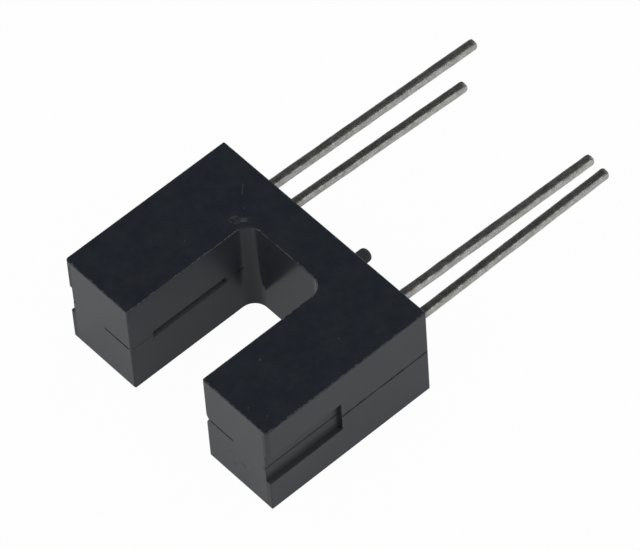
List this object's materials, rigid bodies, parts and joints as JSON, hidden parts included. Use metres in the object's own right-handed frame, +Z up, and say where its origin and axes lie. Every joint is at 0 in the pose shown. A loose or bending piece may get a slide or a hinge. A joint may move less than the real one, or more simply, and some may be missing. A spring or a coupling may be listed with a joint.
{
  "type": "slotted optical switch",
  "caption": "Slotted optical switch: a U-shaped black housing whose two arms face each other across a gap with light slits, with wire leads and a locating peg at the rear.",
  "frame": {"origin": "middle of the seating face, where the housing meets a circuit board", "axes": "+X across the slot from the emitter's arm to the detector's, +Y out along the leads, +Z up through the thickness, so the part lies on its wide face with its arms along -Y"},
  "size_m": [0.0142, 0.0239, 0.006],
  "materials": {
    "black_plastic": "moulded black thermoplastic with a soft shine",
    "clear_epoxy": "clear cast epoxy with a faint blue tint",
    "dark_epoxy": "near-black cast epoxy that passes only infrared",
    "tinned_wire": "square wire with a slightly uneven dipped tin coat",
    "chip": "polished grey semiconductor",
    "gold_wire": "drawn gold wire",
    "sealing_resin": "black sealing resin, level and slightly dull"
  },
  "bodies": {
    "root": {"housing": "black_plastic", "emitter_package": "clear_epoxy", "emitter_anode_lead": "tinned_wire", "emitter_cathode_lead": "tinned_wire", "emitter_die": "chip", "emitter_bond_wire": "gold_wire", "emitter_backfill": "sealing_resin", "detector_package": "dark_epoxy", "detector_emitter_lead": "tinned_wire", "detector_collector_lead": "tinned_wire", "detector_die": "chip", "detector_bond_wire": "gold_wire", "detector_backfill": "sealing_resin"}
  },
  "joints": []
}
